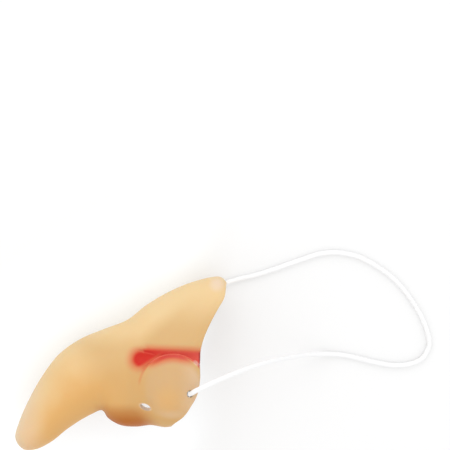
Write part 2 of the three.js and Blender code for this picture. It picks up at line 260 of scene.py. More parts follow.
class CostumeNosePaint(bpy.types.PropertyGroup):
    """Colours of the vinyl, what is sprayed on it, and the painted light and shade on it."""

    # The crest's pale is a painted highlight, and the vinyl down the sides and underneath painted shade.
    vinyl: colour("Vinyl", "Colour of the sides and underneath", (0.595, 0.34, 0.12))
    pale: colour("Crest", "Paler colour along the crest", (0.66, 0.487, 0.262))
    # The duller colour is painted shade over the sides of the bridge and the middle.
    dull_shade: colour("Dull", "Duller colour over the sides of the bridge and the middle", (0.5, 0.305, 0.125))
    # The wing colour is painted shade over each wing's lobe.
    wing: colour("Wing", "Duller colour of the wings", (0.5175, 0.331, 0.165))
    # The underside colour is an orange-brown spray that is partly painted shade under the body.
    warm: colour("Underside", "Orange-brown spray under the body", (0.37, 0.105, 0.006))
    haze: colour("Red haze", "Thin edge of the red spray", (0.56, 0.095, 0.045))
    red: colour("Crease red", "Red spray in the creases", (0.52, 0.026, 0.016))
    pink: colour("Rear red", "The same spray nearer the face, pinker", (0.56, 0.072, 0.052))
    # The dark red is painted shadow on the face edge and painted shade just inside the lip and along the
    # fold.
    shadow_red: colour("Dark red", "Dark lines of it on the face edge and by the lip", (0.2, 0.012, 0.016))
    # The lip colour is a painted highlight on the lip's edge, where the red is also worn thin, and on the
    # fold.
    lip: colour("Lip edge", "The lip's edge, where the red is rubbed thin", (0.7, 0.15, 0.1))
    # The pale pinkish colour is worn paint at the bridge's top, and painted light on the wings' edges,
    # round the breathing holes and in the lip's highlight spot.
    rubbed_and_lit: colour("Rubbed", "Pale pinkish vinyl where the paint is rubbed", (0.66, 0.53, 0.42))
    inside: colour("Inside", "Bare vinyl on the inside", (0.82, 0.69, 0.58))


class CostumeNoseElastic(bpy.types.PropertyGroup):
    """Sizes and colour of the head elastic."""

    diameter: length("Diameter", "Thickness of the round elastic", 0.0022)
    clearance: length("Hole clearance", "Room round the elastic in its hole", 0.0004)
    hole_place: share("Hole place", "Where each hole lies, as a share of the ribs from tip to edge", 0.928)
    hole_angle: radians("Hole angle", "Where it lies round the rib, from the crest", 1.83)
    hole_aim: vector("Hole aim", "The way out of each hole: forward, up and side", (-0.5, 0.23, 0.84),
                     subtype="DIRECTION")
    knot_size: length("Knot size", "Across each knot", 0.0052)
    knot_gap: length("Knot gap", "From the smooth wall in to the knot", 0.00046)
    white: colour("Elastic", "Colour of the elastic", (0.82, 0.82, 0.82))
    shade: colour("Elastic shade", "Between its braided strands", (0.7, 0.7, 0.705))


class CostumeNoseStage(bpy.types.PropertyGroup):
    """Floor, light and camera."""

    floor: colour("Table", "Colour of the table", (0.55, 0.55, 0.55))
    glow: number("Table light", "How strongly the table is lit from within", 0.45)
    glow_colour: colour("Table light's colour", "Colour of the light within", (0.6, 0.6, 0.6))
    pool: colour("Pool of light", "Colour of the light within under the nose", (0.9, 0.96, 1.0))
    pool_middle: vector("Pool middle", "Middle of the pool, back and up, as worn", (-0.024, 0.027),
                        unit="LENGTH")
    pool_length: length("Pool length", "The long way across the pool", 0.21)
    pool_width: length("Pool width", "The short way across the pool", 0.14)
    pool_turn: radians("Pool turn", "Turn of its long way", math.radians(37))
    centre: vector("View centre", "Middle of the view: back, up and side, as worn", (0.0232, 0.0902, 0),
                   subtype="XYZ", unit="LENGTH")
    width: length("View width", "How much the view takes in at the nose", 0.2025)
    distance: length("View distance", "From the camera to the nose", 2.9)
    key: FloatProperty(
        name="Key light", description="Power of the wide soft lamp", default=3.6, unit="POWER")
    key_from: vector("Lamp direction", "Where the lamp is: back, up and side, as worn", (-0.15, 0.6, 1.0),
                     subtype="DIRECTION")
    sky: number("Surround", "Strength of the white surround", 1.25)


def settings():
    """The properties of the scene that is being made."""
    scene = bpy.context.scene
    return (scene.costume_nose_shape, scene.costume_nose_paint, scene.costume_nose_elastic,
            scene.costume_nose_stage)


# Curves and surfaces

def smooth_step(value, low, high):
    """0 at low and 1 at high, easing in and out as 3t^2 - 2t^3 between them."""
    t = np.clip((value - low) / (high - low), 0, 1)
    return t * t * (3 - 2 * t)


def cubic_step(before, start, end, after, t):
    """A cubic from start to end whose slope at each is half the step between its neighbours."""
    bend = 2 * before - 5 * start + 4 * end - after
    twist = 3 * start - before - 3 * end + after
    return 0.5 * (2 * start + (end - before) * t + bend * t ** 2 + twist * t ** 3)


def ribs_at(place, shape):
    """The ribs at places from 0, the tip, to LAST_RIB, the face edge.

    Each column of RIBS is a smooth curve through its rows, in cubic steps. The row before the tip
    mirrors the one after it, so that the tip closes round, and the row past the edge continues the
    last step.
    """
    before = RIBS[1, [2, 3, 0, 1, 4, 5, 6, 7]] * [1, 1, 1, 1, -1, 1, 1, 1]
    rows = np.vstack([before, RIBS, 2 * RIBS[-1] - RIBS[-2]])
    index = np.clip(np.floor(place).astype(int), 0, LAST_RIB - 1)
    values = cubic_step(*(rows[index + i] for i in range(4)), (place - index)[..., None])
    scale = np.array([shape.reach, shape.height])
    crest, keel = values[..., 0:2] * scale, values[..., 2:4] * scale
    span = np.maximum(np.linalg.norm(keel - crest, axis=-1), TINY)
    return SimpleNamespace(
        place=place, crest=crest, down=(keel - crest) / span[..., None], span=span,
        half=np.maximum(values[..., 4] * shape.body_width / 2, TINY),
        widest=values[..., 5], crown=values[..., 6], keel=values[..., 7])


def edge_bow(along):
    """EDGE_BOW's values joined by the same cubic steps, at shares of the way from crest to keel."""
    steps = len(EDGE_BOW) - 1
    at = np.clip(along, 0, 1) * steps
    index = np.minimum(at.astype(int), steps - 1)
    padded = np.pad(EDGE_BOW, 1, mode="edge")
    return cubic_step(*(padded[index + i] for i in range(4)), at - index)


def point_on_rib(rib, angle, radius):
    """(forward, up, side) at a radius and angle from the rib's widest place, bowed near the edge."""
    along = rib.widest * rib.span - np.cos(angle) * radius
    back = edge_bow(along / rib.span) * rib.span
    back = back * smooth_step(rib.place, EDGE_BOW_START * LAST_RIB, LAST_RIB)
    forward = rib.crest[..., 0] + along * rib.down[..., 0] + back * rib.down[..., 1]
    up = rib.crest[..., 1] + along * rib.down[..., 1] - back * rib.down[..., 0]
    return np.stack([forward, up, np.sin(angle) * radius], axis=-1)


def body_radius(rib, angle):
    """A superellipse: |cos/reach|^p + |sin/half width|^p = r^-p, with its own reach and power p
    above and below the widest place."""
    above = np.cos(angle) > 0
    reach = rib.span * np.where(above, rib.widest, 1 - rib.widest)
    power = np.where(above, rib.crown, rib.keel)
    total = np.abs(np.cos(angle) / reach) ** power + np.abs(np.sin(angle) / rib.half) ** power
    return total ** (-1 / power)


def wing_distance(point, shape):
    """About how far a point lies outside the nearer wing, a superellipsoid beside the foot: its
    three shares of the wing's half sizes, each to the power p, added, to the power 1/p, less 1."""
    forward, up, side = np.moveaxis(point, -1, 0)
    middle = shape.body_width / 2 + shape.wing_standout - shape.wing_dome
    parts = (
        (forward - shape.wing_forward * shape.reach) / (shape.wing_length / 2),
        (up - shape.wing_up * shape.height) / (shape.wing_rise / 2),
        (np.abs(side) - middle) / shape.wing_dome)
    total = sum(np.abs(part) ** shape.wing_power for part in parts)
    return (total ** (1 / shape.wing_power) - 1) * shape.wing_dome


def soft_minimum(a, b, blend):
    """The smaller of two distances, less up to a quarter of the blend where they are nearly alike."""
    overlap = np.maximum(blend - np.abs(a - b), 0) / blend
    return np.minimum(a, b) - overlap ** 2 * blend / 4


def side_fade(side, shape):
    """0 near the middle of the nose, 1 out on its sides."""
    return smooth_step(np.abs(side), SIDE_FADE[0] * shape.body_width, SIDE_FADE[1] * shape.body_width)


def crease_depth(point, shape, ease):
    """How deep the crease is: full just outside the lip's circle, up to a straight upper edge over
    it, and fading forward of the wing and down beside it."""
    forward, up, side = np.moveaxis(point, -1, 0)
    middle, lip = shape.lip_up * shape.height, shape.lip_radius
    from_lip = np.hypot(forward, up - middle) - lip
    upper = middle + lip + shape.crease_gap
    fade = shape.crease_fade + ease
    softer = 1 + ease / SOFT_LIP
    depth = smooth_step(from_lip, -ease, shape.lip_step * softer)
    depth *= 1 - smooth_step(up, upper - fade, upper + fade)
    depth *= 1 - smooth_step(forward, CREASE_FRONT[0] * lip, CREASE_FRONT[1] * lip + ease)
    depth *= smooth_step(up, middle + CREASE_FOOT[0] * lip - ease, middle + CREASE_FOOT[1] * lip)
    return shape.crease_depth * depth * side_fade(side, shape)


def dimple_depth(point, shape):
    """A shallow round dimple about each breathing hole."""
    forward, up, side = np.moveaxis(point, -1, 0)
    off_hole = np.hypot(forward - shape.breath_forward, up - shape.breath_up * shape.height)
    depth = shape.dimple_depth * (1 - smooth_step(off_hole, 0, shape.dimple_radius))
    return depth * side_fade(side, shape)


def skin_point(place, angle, shape, ease=0.0):
    """The outer surface at a place along the ribs and an angle round them.

    A ray starts in the rib's widest place, at the angle, and ends where it comes out of body and
    wings, melted together by their soft minimum. Halving finds that radius, and the crease and the
    dimple are then taken off it.
    """
    rib = ribs_at(place, shape)
    body = body_radius(rib, angle)
    inside, outside = body / 2, body + shape.body_width / 2 + shape.wing_standout
    for _ in range(HALVINGS):
        radius = (inside + outside) / 2
        wing = wing_distance(point_on_rib(rib, angle, radius), shape)
        within = soft_minimum(radius - body, wing, shape.wing_blend) < 0
        inside, outside = np.where(within, radius, inside), np.where(within, outside, radius)
    point = point_on_rib(rib, angle, inside)
    carved = crease_depth(point, shape, ease) + dimple_depth(point, shape)
    return point_on_rib(rib, angle, inside - carved)


def skin_frame(place, angle, shape, ease=0.0):
    """The surface's unit normal and its direction towards the face, from short steps each way."""
    step = 0.02
    here = skin_point(place, angle, shape, ease)
    backwards = here - skin_point(np.maximum(place - step, step / 2), angle, shape, ease)
    around = skin_point(place, angle + step, shape, ease) - skin_point(place, angle - step, shape, ease)
    normal = np.cross(backwards, around)
    normal /= np.linalg.norm(normal, axis=-1, keepdims=True)
    return normal, backwards / np.linalg.norm(backwards, axis=-1, keepdims=True)


def wall_point(place, angle, shape):
    """The inside of the wall: the outer surface with a softer crease, moved in by the wall."""
    normal, _ = skin_frame(place, angle, shape, shape.inner_ease)
    return skin_point(place, angle, shape, shape.inner_ease) - normal * shape.wall


def resting_turn(shape):
    """The turn from the worn axes (back, up, left) to the axes of the nose as it lies."""
    return Matrix.Rotation(shape.rest_lean, 3, "X") @ Matrix.Rotation(shape.rest_swing, 3, "Y")


def lying(points, shape, foot=(0, 0, 0)):
    """Worn (forward, up, side) points as they lie, with the foot at a place."""
    turn = np.array(resting_turn(shape))
    return (points * [-1, 1, 1]) @ turn.T + np.array(foot)


def shell_rings(shape):
    """The rings of the shell in worn axes, from the tip along the outside, round the edge and back
    along the inside, with their places and angles and how many of them come before the inside.

    Places crowd together towards the wings, as 1 - (1 - t)^RING_CROWDING with t from 0 to 1, and
    angles towards the sides, where the creases are, as pi t + SIDE_CROWDING sin(2 pi t) with t from
    0 to 2.
    """
    t = np.linspace(0, 1, shape.outer_rings + 1)[1:]
    places = SHELL_END * (1 - (1 - t) ** RING_CROWDING)
    turn = np.arange(shape.round_steps) / shape.round_steps * 2
    angle = np.pi * turn + SIDE_CROWDING * np.sin(2 * np.pi * turn)
    grid_place, grid_angle = np.meshgrid(places, angle, indexing="ij")
    outer = skin_point(grid_place, grid_angle, shape)

    edge_place = np.full_like(angle, SHELL_END)
    last_outer, last_inner = skin_point(edge_place, angle, shape), wall_point(edge_place, angle, shape)
    _, backwards = skin_frame(edge_place, angle, shape)
    middle = (last_outer + last_inner) / 2
    bend = (np.arange(1, EDGE_STEPS) / EDGE_STEPS * np.pi)[:, None, None]
    edge = middle + (last_outer - middle) * np.cos(bend) + backwards * shape.wall / 2 * np.sin(bend)

    inner_places = SHELL_END * np.arange(shape.inner_rings, 0, -1) / shape.inner_rings
    grid_place, grid_angle = np.meshgrid(inner_places, angle, indexing="ij")
    rings = np.concatenate([outer, edge, wall_point(grid_place, grid_angle, shape)])
    all_places = np.concatenate([places, np.full(len(edge), SHELL_END), inner_places])
    return rings, all_places, angle, len(outer) + len(edge)


def nose_foot(shape):
    """Where the foot lies: the outer surface's box sits on the floor, on the CAD box's middle."""
    places = np.linspace(BOX_START, SHELL_END, BOX_GRID[0])
    angles = np.linspace(0, 2 * np.pi, BOX_GRID[1], endpoint=False)
    grid = np.meshgrid(places, angles, indexing="ij")
    points = lying(skin_point(*grid, shape), shape).reshape(-1, 3)
    low, high = points.min(0), points.max(0)
    box_low, box_high = np.array(NOSE_BOX[0]), np.array(NOSE_BOX[1])
    foot = (box_low + box_high - low - high) / 2
    foot[2] = box_low[2] - low[2]
    return foot


# Meshes

def add_object(name, data):
    """A new object in the scene, at the origin."""
    item = bpy.data.objects.new(name, data)
    bpy.context.scene.collection.objects.link(item)
    return item


def ring_faces(rows, columns):
    """Quads between neighbouring rings of a grid whose rows close on themselves."""
    row, column = np.meshgrid(np.arange(rows - 1) * columns, np.arange(columns), indexing="ij")
    after = (column + 1) % columns
    quads = [row + column, row + after, row + columns + after, row + columns + column]
    return np.stack(quads, axis=-1).reshape(-1, 4)


def fan(middle, ring):
    """Triangles from a middle point to each step round a closed ring of points."""
    return np.stack([np.full(len(ring), middle), ring, np.roll(ring, -1)], axis=1)


def ring_uv(around, along):
    """A UV for each corner of ring_faces' quads. Around has one value more than a ring has points,
    so that the map closes, and along has one for each ring."""
    rows, columns = len(along) - 1, len(around) - 1
    corners = []
    for down, over in ((0, 0), (0, 1), (1, 1), (1, 0)):
        grid = np.meshgrid(along[down:down + rows], around[over:over + columns], indexing="ij")
        corners.append(np.stack([grid[1].ravel(), grid[0].ravel()], axis=-1))
    return np.stack(corners, axis=1)


def add_uv(piece, name, quad_uv, end_uv):
    """A UV map from the quads' corners and then the end triangles' corners."""
    layer = piece.data.uv_layers.new(name=name)
    values = np.concatenate([quad_uv.reshape(-1, 2), end_uv])
    layer.data.foreach_set("uv", values.astype(np.float32).ravel())


def new_piece(name, points, quads, triangles):
    """A smooth mesh object from whole arrays of points, quads and triangles."""
    mesh = bpy.data.meshes.new(name)
    corners = np.concatenate([quads.ravel(), triangles.ravel()])
    totals = np.concatenate([np.full(len(quads), 4), np.full(len(triangles), 3)])
    mesh.vertices.add(len(points))
    mesh.vertices.foreach_set("co", np.asarray(points, dtype=np.float32).ravel())
    mesh.loops.add(len(corners))
    mesh.loops.foreach_set("vertex_index", corners.astype(np.int32))
    mesh.polygons.add(len(totals))
    mesh.polygons.foreach_set("loop_start", (np.cumsum(totals) - totals).astype(np.int32))
    mesh.update(calc_edges=True)
    mesh.validate()
    mesh.shade_smooth()
    return add_object(name, mesh)


def distances(path):
    """How far along a path each of its points is."""
    return np.concatenate([[0], np.cumsum(np.linalg.norm(np.diff(path, axis=0), axis=1))])


def smooth_path(points, count):
    """Evenly spaced points on a smooth curve through the given ones.

    Between two points it is a cubic whose end slopes weigh the neighbouring steps by the square
    root of their lengths.
    """
    ends = np.vstack([2 * points[0] - points[1], points, 2 * points[-1] - points[-2]])
    a, b, c, d = ends[:-3], ends[1:-2], ends[2:-1], ends[3:]
    pairs = ((a, b), (b, c), (c, d))
    before, here, after = (np.sqrt(np.linalg.norm(q - p, axis=1))[:, None] for p, q in pairs)
    slope_b = here * ((b - a) / before - (c - a) / (before + here) + (c - b) / here)
    slope_c = here * ((c - b) / here - (d - b) / (here + after) + (d - c) / after)
    steps_between = 40
    t = np.linspace(0, 1, steps_between, endpoint=False)[None, :, None]
    b, c, slope_b, slope_c = (v[:, None] for v in (b, c, slope_b, slope_c))
    fine = (2 * t ** 3 - 3 * t ** 2 + 1) * b + (t ** 3 - 2 * t ** 2 + t) * slope_b
    fine += (3 * t ** 2 - 2 * t ** 3) * c + (t ** 3 - t ** 2) * slope_c
    fine = np.vstack([fine.reshape(-1, 3), points[-1]])
    reached = distances(fine)
    wanted = np.linspace(0, reached[-1], count)
    return np.stack([np.interp(wanted, reached, fine[:, i]) for i in range(3)], axis=1), reached[-1]


def tube(name, path, radius, sides=20):
    """A round section carried along a path, with a rounded cap on each end and a UV map.

    The section stands square to the path, turned to a line near the vertical that the path never
    follows: p + r (cos a u + sin a v). A cap is three rings whose radius shrinks as a quarter
    circle, half as high as it is wide. U runs round the tube, and V is the way along it in tube
    widths.
    """
    near_vertical = (0.02, 0.01, 1)
    ahead = np.gradient(path, axis=0)
    ahead /= np.linalg.norm(ahead, axis=1, keepdims=True)
    bend = np.linspace(0, np.pi / 2, 5)[1:-1]
    cap_radius, cap_reach = radius * np.cos(bend), radius / 2 * np.sin(bend)
    head = path[0] - ahead[0] * cap_reach[::-1, None]
    tail = path[-1] + ahead[-1] * cap_reach[:, None]
    centres = np.vstack([head, path, tail])
    radii = np.concatenate([cap_radius[::-1], np.full(len(path), radius), cap_radius])
    along = np.vstack([np.repeat(ahead[:1], len(bend), 0), ahead, np.repeat(ahead[-1:], len(bend), 0)])
    u = np.cross(along, near_vertical)
    u /= np.linalg.norm(u, axis=1, keepdims=True)
    v = np.cross(along, u)
    angle = np.arange(sides) / sides * 2 * np.pi
    section = np.cos(angle)[None, :, None] * u[:, None] + np.sin(angle)[None, :, None] * v[:, None]
    points = (centres[:, None] + radii[:, None, None] * section).reshape(-1, 3)
    ends = np.array([path[0] - ahead[0] * radius / 2, path[-1] + ahead[-1] * radius / 2])
    total, ring = len(points), np.arange(sides)
    first = fan(total, ring)[:, [0, 2, 1]]
    last = fan(total + 1, total - sides + ring)
    quads = ring_faces(len(centres), sides)
    piece = new_piece(name, np.vstack([points, ends]), quads, np.vstack([first, last]))

    reached = distances(centres) / (2 * radius)
    end_uv = np.concatenate([np.zeros((3 * sides, 2)), np.full((3 * sides, 2), reached[-1])])
    add_uv(piece, "Braid", ring_uv(np.arange(sides + 1) / sides, reached), end_uv)
    return piece


def tied_knot(name, middle, out, radius):
    """A tight overhand knot: a round strand along a trefoil.

    The trefoil winds twice round its axis while it goes in and out three times:
    ((1 + b cos 3t) cos 2t, (1 + b cos 3t) sin 2t, 1.5 b sin 3t), scaled to fit the knot's radius.
    """
    t = np.linspace(0, 2 * np.pi, 241)
    wave, strand = 0.52, 0.31 * radius
    reach = (radius - strand) / (1 + wave)
    ring = 1 + wave * np.cos(3 * t)
    trefoil = [ring * np.cos(2 * t), ring * np.sin(2 * t), wave * 1.5 * np.sin(3 * t)]
    path = np.stack(trefoil, axis=1) * reach
    turn = np.array(Vector((0, 0, 1)).rotation_difference(Vector(out)).to_matrix())
    return tube(name, path @ turn.T + middle, strand, sides=16)


def cut(piece, cutters, holes):
    """Takes closed cutters out of a piece, one exact Boolean for each, and removes them. The piece
    was one closed surface, so with its holes its corners - edges + faces must be 2 - 2 holes."""
    for cutter in cutters:
        modifier = piece.modifiers.new("cut", "BOOLEAN")
        modifier.operation, modifier.solver, modifier.object = "DIFFERENCE", "EXACT", cutter
    bpy.context.view_layer.update()
    evaluated = piece.evaluated_get(bpy.context.evaluated_depsgraph_get())
    before, piece_mesh = piece.data, bpy.data.meshes.new_from_object(evaluated)
    piece.modifiers.clear()
    piece.data = piece_mesh
    piece_mesh.name = piece.name
    bpy.data.meshes.remove(before)
    for cutter in cutters:
        bpy.data.objects.remove(cutter)
    if len(piece_mesh.vertices) - len(piece_mesh.edges) + len(piece_mesh.polygons) != 2 - 2 * holes:
        raise RuntimeError(f"a hole of {piece.name} isn't cut clean through")


def rod(name, middle, axis, across, width, height, reach, sides=48):
    """A closed elliptical rod, used to cut a hole: two rings of middle -+ reach axis
    + width/2 cos a across + height/2 sin a (axis x across), and their faces."""
    axis = np.array(axis) / np.linalg.norm(axis)
    across = np.array(across) - axis * (axis @ np.array(across))
    across /= np.linalg.norm(across)
    angle = np.arange(sides)[:, None] / sides * 2 * np.pi
    ring = np.cos(angle) * width / 2 * across + np.sin(angle) * height / 2 * np.cross(axis, across)
    points = np.vstack([middle + ring - axis * reach, middle + ring + axis * reach])
    column = np.arange(sides)
    caps = [column[::-1].tolist(), (sides + column).tolist()]
    mesh = bpy.data.meshes.new(name)
    mesh.from_pydata(points.tolist(), [], ring_faces(2, sides).tolist() + caps)
    return add_object(name, mesh)


def cord_hole(hand, shape, elastic):
    """The mouth of a cord hole on the outside of a wing, its way out and the wing's normal there,
    all as worn. Hand is 1 on the wearer's left and -1 on the right."""
    place = np.array(elastic.hole_place * LAST_RIB)
    angle = np.array(elastic.hole_angle)
    mouth = skin_point(place, angle, shape) * [1, 1, hand]
    aim = np.array(elastic.hole_aim) * [1, 1, hand]
    normal = skin_frame(place, angle, shape)[0] * [1, 1, hand]
    return mouth, aim / np.linalg.norm(aim), normal


# Materials

def add_node(tree, kind, inputs=None, **values):
    """A node of a kind, with its settings and inputs. An input is a value or another socket."""
    node = tree.nodes.new(kind)
    for name, value in values.items():
        setattr(node, name, value)
    for key, value in (inputs or {}).items():
        if isinstance(value, bpy.types.NodeSocket):
            tree.links.new(value, node.inputs[key])
        else:
            node.inputs[key].default_value = value
    return node


def maths(tree, operation, *values):
    """The result of a Math node."""
    return add_node(tree, "ShaderNodeMath", dict(enumerate(values)), operation=operation).outputs[0]


def slanted(tree, value, slope, other):
    """A value times a slope and another added, which tilts the edge of a mask over it."""
    return maths(tree, "MULTIPLY_ADD", value, slope, other)


def ease_in(tree, value, ramp):
    """A mask that eases from 0 at the ramp's first value to 1 at its second."""
    inputs = {"Value": value, "From Min": ramp[0], "From Max": ramp[1]}
    node = add_node(tree, "ShaderNodeMapRange", inputs, interpolation_type="SMOOTHSTEP")
    return node.outputs["Result"]


def both(tree, *masks):
    """Masks multiplied together."""
    result = masks[0]
    for mask in masks[1:]:
        result = maths(tree, "MULTIPLY", result, mask)
    return result


def patch(tree, *ramps):
    """A mask that is full where every ramp is, each given as a value and what it eases between."""
    return both(tree, *(ease_in(tree, value, ramp) for value, ramp in ramps))


def mix(tree, mask, under, over):
    """The colour under, covered by the colour over where the mask is 1."""
    return add_node(tree, "ShaderNodeMix", {0: mask, 6: under, 7: over}, data_type="RGBA").outputs[2]


def rgba(value):
    """A colour property as red, green, blue and alpha."""
    return (*value, 1)


def spray(tree, body, mask, amount, tint):
    """A tint sprayed over the body's colour where the mask is, as thickly as the amount."""
    return mix(tree, maths(tree, "MULTIPLY", mask, amount), body, rgba(tint))


def new_group(name, inputs, outputs):
    """A shader node group with named inputs, as (kind, name, default), and named outputs."""
    group = bpy.data.node_groups.new(name, "ShaderNodeTree")
    for kind, label, default in inputs:
        socket = group.interface.new_socket(label, in_out="INPUT", socket_type=kind)
        if default is not None:
            socket.default_value = default
    for kind, label in outputs:
        group.interface.new_socket(label, in_out="OUTPUT", socket_type=kind)
    return group, group.nodes.new("NodeGroupInput").outputs, group.nodes.new("NodeGroupOutput").inputs


def vinyl_grain_group():
    """Moulded vinyl: broad pale clouds, and the height of its fine matt skin."""
    group, given, made = new_group(
        "Vinyl grain",
        [("NodeSocketVector", "Place", None), ("NodeSocketFloat", "Cloud size", 55.0),
         ("NodeSocketFloat", "Grain size", 1400.0)],
        [("NodeSocketFloat", "Clouds"), ("NodeSocketFloat", "Height")])
    clouds = add_node(group, "ShaderNodeTexNoise", {
        "Vector": given["Place"], "Scale": given["Cloud size"], "Detail": 3.0, "Roughness": 0.45})
    grain = add_node(group, "ShaderNodeTexNoise", {
        "Vector": given["Place"], "Scale": given["Grain size"], "Detail": 2.0})
    swell = add_node(group, "ShaderNodeTexNoise", {
        "Vector": given["Place"], "Scale": 150.0, "Detail": 1.0})
    group.links.new(ease_in(group, clouds.outputs["Fac"], (0.35, 0.7)), made["Clouds"])
    height = maths(group, "MULTIPLY_ADD", swell.outputs["Fac"], 4.0, grain.outputs["Fac"])
    group.links.new(height, made["Height"])
    return group


def braid_group():
    """Braided elastic: eight strands each way round the cord, and 2.4 in a cord's width along it,
    each a sine wave, of which the higher one shows."""
    group, given, made = new_group(
        "Elastic braid",
        [("NodeSocketFloat", "Round", 0.0), ("NodeSocketFloat", "Along", 0.0)],
        [("NodeSocketFloat", "Strands")])
    strands = []
    along = maths(group, "MULTIPLY", given["Along"], 2.4)
    for turns in (8.0, -8.0):
        phase = maths(group, "MULTIPLY_ADD", given["Round"], turns, along)
        wave = maths(group, "SINE", maths(group, "MULTIPLY", phase, 2 * math.pi))
        strands.append(maths(group, "MULTIPLY_ADD", wave, 0.5, 0.5))
    group.links.new(maths(group, "MAXIMUM", *strands), made["Strands"])
    return group


def shader(name, values):
    """A new material, its tree and its Principled BSDF with plain values on its own sockets."""
    material = bpy.data.materials.new(name)
    material.use_nodes = True
    bsdf = material.node_tree.nodes["Principled BSDF"]
    for key, value in values.items():
        bsdf.inputs[key].default_value = value
    return material, material.node_tree, bsdf


def add_bump(tree, bsdf, height, strength, distance):
    """Raises the surface by a height mask."""
    bump = add_node(tree, "ShaderNodeBump", {"Height": height, "Strength": strength, "Distance": distance})
    tree.links.new(bump.outputs["Normal"], bsdf.inputs["Normal"])


def object_place(tree):
    """The place on a piece, by its Object coordinates."""
    return tree.nodes.new("ShaderNodeTexCoord").outputs["Object"]


def map_place(tree, layer):
    """The place on a piece's own UV map: round it and along it."""
    uv = add_node(tree, "ShaderNodeUVMap", uv_map=layer).outputs["UV"]
    split = add_node(tree, "ShaderNodeSeparateXYZ", {"Vector": uv})
    return split.outputs["X"], split.outputs["Y"]


def worn_view(tree, shape, foot):
    """The Object coordinates turned back to the worn axes: the place, how far back and how far up
    it is, and the same two as a flat place."""
    mapping = add_node(tree, "ShaderNodeMapping", {
        "Vector": object_place(tree), "Location": tuple(foot),
        "Rotation": tuple(resting_turn(shape).to_euler())}, vector_type="TEXTURE")
    split = add_node(tree, "ShaderNodeSeparateXYZ", {"Vector": mapping.outputs["Vector"]})
    back, up = split.outputs["X"], split.outputs["Y"]
    flat = add_node(tree, "ShaderNodeCombineXYZ", {"X": back, "Y": up})
    return SimpleNamespace(place=mapping.outputs["Vector"], back=back, up=up, flat=flat.outputs["Vector"])


def away(tree, flat, point):
    """How far a flat place is from a point, back and up, of the worn side view."""
    node = add_node(tree, "ShaderNodeVectorMath", {0: flat, 1: (*point, 0)}, operation="DISTANCE")
    return node.outputs["Value"]


def off_line(tree, value, line):
    """How far a value is from a line, on either side of it."""
    return maths(tree, "ABSOLUTE", maths(tree, "ADD", value, -line))


def off_oval(tree, flat, middle, turn, half_length, half_width):
    """How far a flat place is from the middle of a turned oval, which is 1 on its rim."""
    turned = add_node(tree, "ShaderNodeMapping", {
        "Vector": flat, "Location": (*middle, 0), "Rotation": (0, 0, turn),
        "Scale": (half_length, half_width, 1)}, vector_type="TEXTURE")
    node = add_node(tree, "ShaderNodeVectorMath", {0: turned.outputs["Vector"]}, operation="LENGTH")
    return node.outputs["Value"]


# How the crest's pale colour, a painted highlight, gives way down the sides to the vinyl's painted
# shade, 0 to 1 from crest to keel, and how much the clouds shift that. The vinyl's roughness is a
# plain value and what the clouds add to it.
CREST = SimpleNamespace(down=(0.0, 0.76), clouding=0.12)
ROUGHNESS = SimpleNamespace(plain=0.46, clouding=0.08)

# Where the paint lies in the worn side view, in metres back and up from the foot. A pair is a ramp,
# from where it is 0 to where it is 1, or a point where its name ends in at, and breath is in shares
# of a breathing hole. A slope tilts a ramp's edge, a line is where a thin line runs, and an amount
# is how thickly the colour is sprayed.
# BRIDGE and MIDDLE place the duller colour's painted shade.
BRIDGE = SimpleNamespace(
    slope=-1.1, front=(-0.0634, -0.0504), top=(0.062, 0.042), low_end=(-0.03, -0.018), amount=0.7)
MIDDLE = SimpleNamespace(slope=0.67, front=(-0.029, -0.009), top=(0.0445, 0.0335), amount=0.58)
# The wings' lobes take painted shade, and their foot and rear the pale pinkish colour as painted light.
WING = SimpleNamespace(
    lip=(0.0, -0.004), front=(-0.016, -0.01), amount=0.8, blush_at=(-0.002, 0.012),
    blush=(0.009, 0.001), blush_amount=0.5, foot=(0.0085, 0.0028), rear=(0.001, 0.013), edge_amount=0.36)
# Worn paint at the peak, paler at the tip, and painted light round each breathing hole.
RUBBED_AND_LIT = SimpleNamespace(
    peak_at=(0.0195, 0.0637), peak=(0.0045, 0.001), peak_amount=0.65, tip=(-0.054, -0.069),
    tip_amount=0.4, breath=(1.4, 1.0), breath_amount=0.5)
# The underside's orange-brown, a spray that is partly painted shade.
UNDERSIDE = SimpleNamespace(
    upper=(0.0112, 0.0058), upper_amount=0.55, lower=(0.0075, 0.0012), lower_amount=0.45, slope=0.6,
    rear=(-0.0035, -0.0145), front=(-0.0365, -0.031))
HAZE = SimpleNamespace(
    inside=(-0.005, -0.0008), front=(0.0082, 0.0026), behind_front=(-0.0143, -0.011),
    top=(0.0376, 0.0333), low=(0.0185, 0.0295), amount=0.85)
# RED's rim ramp places the dark red's painted shadow on the face edge, and its shade ramps the painted
# shade inside the lip.
RED = SimpleNamespace(
    inside=(-0.0021, -0.0006), front=(0.0045, 0.0024), behind_front=(-0.0143, -0.0125),
    top=(0.035, 0.0331), low=(0.0245, 0.0275), slope=-0.6, low_front=(0.0348, 0.0371),
    behind_slant=(-0.0115, -0.0035), pink=(-0.012, 0.002), rim=(0.0112, 0.0118), rim_amount=0.7,
    shade_inner=(-0.002, -0.0012), shade_outer=(0.0004, -0.0002), shade_amount=0.15)
BOTH_REDS = SimpleNamespace(
    lip=(-0.0006, 0.0004), rear=(0.0105, 0.003), foot=(0.0245, 0.0295), front_at=(-0.0143, 0.0302),
    top_slope=0.05)
# The fold is painted only: a painted highlight line under a painted shade line.
FOLD = SimpleNamespace(
    slope=0.224, front=(-0.0165, -0.0145), rear=(-0.0075, -0.0095), light_line=0.03035,
    light=(0.0005, 0.0001), light_amount=0.2, dark_line=0.03115, dark=(0.0006, 0.0002), dark_amount=0.15)
